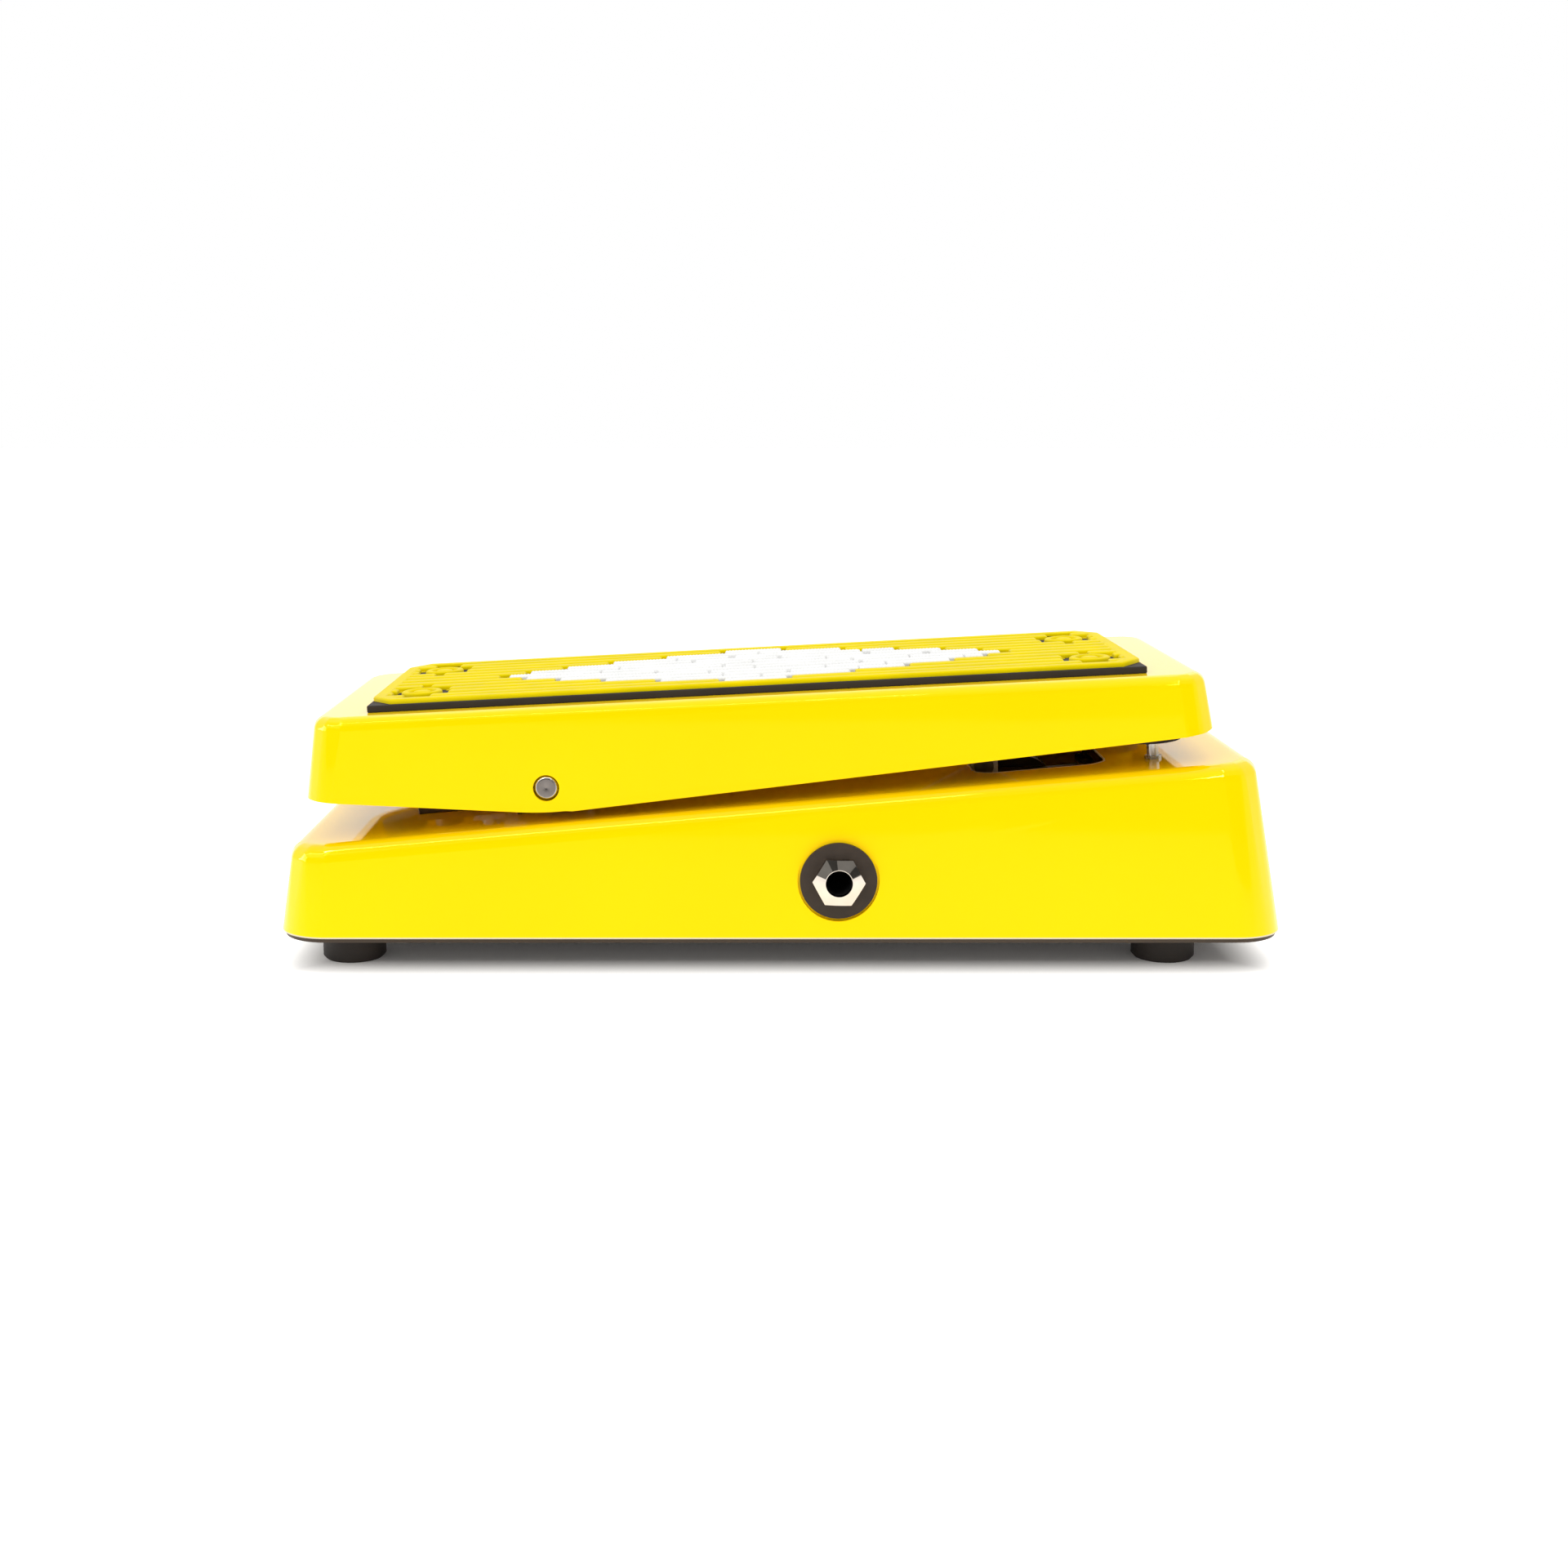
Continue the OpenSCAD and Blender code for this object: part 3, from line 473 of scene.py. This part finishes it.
def oct_limit(y, inset):
    """Half length of the ribbed layer's inside at a row."""
    past = max(0.0, abs(y) - (LAYER_HALF_W - CORNER_W))
    return LAYER_HALF_L - past / CORNER_W * CORNER_L - inset


def cut(spans, lo, hi):
    """Takes lo to hi out of the spans, and drops what is left too short."""
    out = []
    for a, b in spans:
        if hi <= a or lo >= b:
            out.append((a, b))
            continue
        if lo > a:
            out.append((a, lo))
        if hi < b:
            out.append((hi, b))
    return [(a, b) for a, b in out if b - a > 0.8]


def chord(y, row, half_w, r):
    """Half length that a circle at y takes out of a row."""
    d = max(0.0, abs(row - y) - half_w)
    return math.sqrt(r * r - d * d) if d < r else 0.0


def yellow_spans(row, half_w, gap, more=0.0):
    """Where a row is yellow: the frame's inside without the bosses and the white lens."""
    spans = [(-oct_limit(row, FRAME_W + gap), oct_limit(row, FRAME_W + gap))]
    for bx, by in BOSSES:
        c = chord(by, row, half_w, BOSS_R + (1.9 if abs(row - by) < 2.7 else 1.5) + more)
        if c:
            spans = cut(spans, bx - c, bx + c)
    reach = max(half(row - half_w), half(row + half_w)) if half_w < 1 else half(row)
    if abs(row) < 29.5:
        spare = (2.6 if abs(row) < 3 else 1.3) + more
        spans = cut(spans, -reach - spare, reach + spare)
    return spans


def slab(verts, faces, x0, x1, y0, y1, top, bottom=PAD_T - 0.02):
    """A thin plate without an underside."""
    k = len(verts)
    for z in (top, bottom):
        for x, y in ((x0, y0), (x1, y0), (x1, y1), (x0, y1)):
            verts.append((x, y, z))
    faces += [(k, k + 1, k + 2, k + 3), (k, k + 4, k + 5, k + 1), (k + 1, k + 5, k + 6, k + 2),
              (k + 2, k + 6, k + 7, k + 3), (k + 3, k + 7, k + 4, k)]


def sway(x, row):
    """The ribs run a little wavy, as in moulded rubber."""
    return 0.16 * math.sin(x * 0.045 + row * 0.11) + 0.07 * math.sin(x * 0.13 + row * 0.3)


def rib(verts, faces, row, x0, x1, width, height, step, knurl=0.0, knurl_pitch=0.9, z0=PAD_T, end=0.7):
    """One ridge: a rounded section swept along a row, with rounded ends."""
    sec = [(-1, 0), (-1, 0.52), (-0.93, 0.74), (-0.72, 0.91), (-0.38, 0.99), (0, 1), (0.38, 0.99),
           (0.72, 0.91), (0.93, 0.74), (1, 0.52), (1, 0)]
    xs = [x0, x0 + 0.08 * end, x0 + 0.3 * end, x0 + end]
    n = max(2, int((x1 - x0 - 2 * end) / step))
    xs += [x0 + end + (x1 - x0 - 2 * end) * i / n for i in range(1, n)]
    xs += [x1 - end, x1 - 0.3 * end, x1 - 0.08 * end, x1]
    base = len(verts)
    m = len(sec)
    for x in xs:
        e = min(x - x0, x1 - x, end) / end
        k = math.sqrt(max(0.0, 1 - (1 - e) ** 2))
        wk, hk = 0.86 + 0.14 * k, 0.5 + 0.5 * k
        if knurl:
            ripple = knurl * (0.5 + 0.5 * math.cos(2 * math.pi * (x - x0) / knurl_pitch)) ** 0.6
        else:
            ripple = 0.0
        for sy, sz in sec:
            shrink = 1 - ripple / (width / 2)
            verts.append((x, row + sway(x, row) + sy * wk * shrink * width / 2,
                          z0 + sz * hk * (height - (ripple if sz > 0.5 else 0.0))))
    for i in range(len(xs) - 1):
        for j in range(m - 1):
            a = base + i * m + j
            faces.append((a, a + 1, a + m + 1, a + m))
    faces.append(tuple(base + j for j in range(m)))
    faces.append(tuple(base + (len(xs) - 1) * m + j for j in reversed(range(m))))


verts, faces = [], []
for row in ROWS:
    for x0, x1 in yellow_spans(row, 2.1, -0.6):
        rib(verts, faces, row, x0, x1, 4.25, RIB_H, 1.6)
# frame round the ribs
oct_pts = [(-92.3, -34.6), (92.3, -34.6), (97.7, -27.6), (97.7, 27.6),
           (92.3, 34.6), (-92.3, 34.6), (-97.7, 27.6), (-97.7, -27.6)]


def inset(points, d):
    """A closed outline moved inward by d."""
    out = []
    n = len(points)
    for i in range(n):
        a, b, c = (Vector(points[(i + k) % n]) for k in (-1, 0, 1))
        u, v = (b - a).normalized(), (c - b).normalized()
        nu, nv = Vector((-u.y, u.x)), Vector((-v.y, v.x))
        bis = (nu + nv).normalized()
        out.append(b + bis * d / bis.dot(nu))
    return out


loops = []
for d, z in ((0, 0), (0, 0.62), (0.12, 0.84), (0.4, 0.97), (0.9, 1.0), (2.3, 1.0), (2.8, 0.97),
             (3.08, 0.84), (FRAME_W, 0.62), (FRAME_W, 0.2)):
    start = len(verts)
    for q in inset(oct_pts, d):
        verts.append((q.x, q.y, PAD_T + z * RIB_H))
    loops.append(start)
for a, b in zip(loops, loops[1:]):
    for i in range(len(oct_pts)):
        j = (i + 1) % len(oct_pts)
        faces.append((a + i, a + j, b + j, b + i))
# thin web between the ribs
grooves = [(i + 0.5) * PITCH for i in range(-6, 6)]
for g in grooves:
    edge = abs(g) > 28
    gy = math.copysign(29.9, g) if edge else g
    wide = 1.3 if edge else 0.95
    for x0, x1 in yellow_spans(gy, 0.6, -0.3, 0.9):
        slab(verts, faces, x0, x1, gy - wide, gy + wide, PAD_T + 0.12)
ribs = piece("tread_rib_layer", verts, faces, yellow_rubber, "treadle")
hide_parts("tread_ribs")

white_rubber = mottled("white_rubber", (0.73, 0.73, 0.72), (0.80, 0.80, 0.79), (0.45, 0.58), 120, 2600,
                       0.00002, spec=0.25)
verts, faces = [], []
for row in ROWS:
    reach = half(row)
    x = -reach
    while x < reach - 0.9:
        length = random.uniform(14, 40)
        end = min(reach, x + length)
        if reach - end < 4:
            end = reach
        rib(verts, faces, row, x, end, 4.4, RIB_H * 1.06, 0.15, knurl=0.13, end=0.5)
        x = end + random.choice((0.3, 0.5, 0.9, 1.8))
for a, b in zip(ROWS, ROWS[1:]):
    reach = min(half(a), half(b)) - 0.6
    slab(verts, faces, -reach, reach, a + 1.9, b - 1.9, PAD_T + 0.45)
motif = piece("tread_white_ribs", verts, faces, white_rubber, "treadle")
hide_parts("tread_motif")


def lathe(verts, faces, cx, cy, z0, prof, n=56):
    """A turned shape: the profile's (radius, height) points carried round a centre."""
    base = len(verts)
    for i in range(n):
        a = 2 * math.pi * i / n
        for r, z in prof:
            verts.append((cx + r * math.cos(a), cy + r * math.sin(a), z0 + z))
    m = len(prof)
    for i in range(n):
        for j in range(m - 1):
            a = base + i * m + j
            b = base + ((i + 1) % n) * m + j
            faces.append((a, b, b + 1, a + 1))


RING_PROFILE = [(0.02, 1.1), (1.0, 1.1), (1.6, 1.06), (2.0, 0.94), (2.2, 0.75), (2.25, 0.35), (2.6, 0.3),
                (3.3, 0.3), (3.4, 0.65), (3.6, 0.92), (3.9, 1.1), (4.35, 1.17), (4.8, 1.1), (5.1, 0.92),
                (5.25, 0.65), (BOSS_R, 0.0)]
verts, faces = [], []
for bx, by in BOSSES:
    lathe(verts, faces, bx, by, PAD_T, RING_PROFILE)
rings = piece("tread_corner_rings", verts, faces, yellow_rubber, "treadle")
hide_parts("tread_bosses")

# ---------------------------------------------------------------- turned axle

AXLE_X = -58.7
AXLE_Z = 46.15
AXLE_R = 3.0
AXLE = Matrix.Translation((AXLE_X * MM, 0, AXLE_Z * MM)) @ Matrix.Rotation(math.radians(-90), 4, "X")
turned_steel, nodes, links, p = new_mat("turned_steel")
vec = coords(nodes, links, loc=(-AXLE_X * MM, 0, -AXLE_Z * MM))
rings_tex = nodes.new("ShaderNodeTexWave")
rings_tex.wave_type = "RINGS"
rings_tex.rings_direction = "Y"
rings_tex.inputs["Scale"].default_value = 1500
rings_tex.inputs["Distortion"].default_value = 1.2
rings_tex.inputs["Detail Scale"].default_value = 400
links.new(vec, rings_tex.inputs["Vector"])
turn_lines = ramp(nodes, links, rings_tex.outputs["Fac"],
                  [(0.2, (0.165, 0.148, 0.138)), (0.8, (0.25, 0.225, 0.21))])
radius = nodes.new("ShaderNodeVectorMath")
radius.operation = "LENGTH"
flat = nodes.new("ShaderNodeVectorMath")
flat.operation = "MULTIPLY"
flat.inputs[1].default_value = (1, 0, 1)
links.new(vec, flat.inputs[0])
links.new(flat.outputs["Vector"], radius.inputs[0])
# The chamfer ring is coloured lighter than the turned face: a painted highlight for its glints.
chamfer_highlight = math_node(nodes, links, "GREATER_THAN", radius.outputs["Value"], 2.42 * MM)
links.new(mix_color(nodes, links, chamfer_highlight, turn_lines, (0.52, 0.49, 0.46)), p.inputs["Base Color"])
tangent = nodes.new("ShaderNodeTangent")
tangent.direction_type = "RADIAL"
tangent.axis = "Y"
links.new(tangent.outputs["Tangent"], p.inputs["Tangent"])
links.new(bump(nodes, links, rings_tex.outputs["Fac"], 0.6, 0.000012), p.inputs["Normal"])
p.inputs["Metallic"].default_value = 1.0
p.inputs["Roughness"].default_value = 0.26
p.inputs["Anisotropic"].default_value = 0.85
verts, faces = [], []
end = [(0.03, 43.62), (0.25, 43.72), (0.55, 43.80), (1.2, 43.83), (2.1, 43.85), (2.45, 43.83),
       (2.62, 43.74), (2.86, 43.52), (2.97, 43.36), (AXLE_R, 43.1)]
prof = end + [(AXLE_R, z) for z in (37, 20, 0, -20, -37)] + [(r, -z) for r, z in reversed(end)]
lathe(verts, faces, 0, 0, 0, prof, 72)
axle = piece("axle_turned", verts, faces, turned_steel, "treadle", matrix=AXLE)
axle.modifiers.new("split", "EDGE_SPLIT").split_angle = math.radians(28)
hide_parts("pivot_axle")

# ---------------------------------------------------------------- update

bpy.context.view_layer.update()
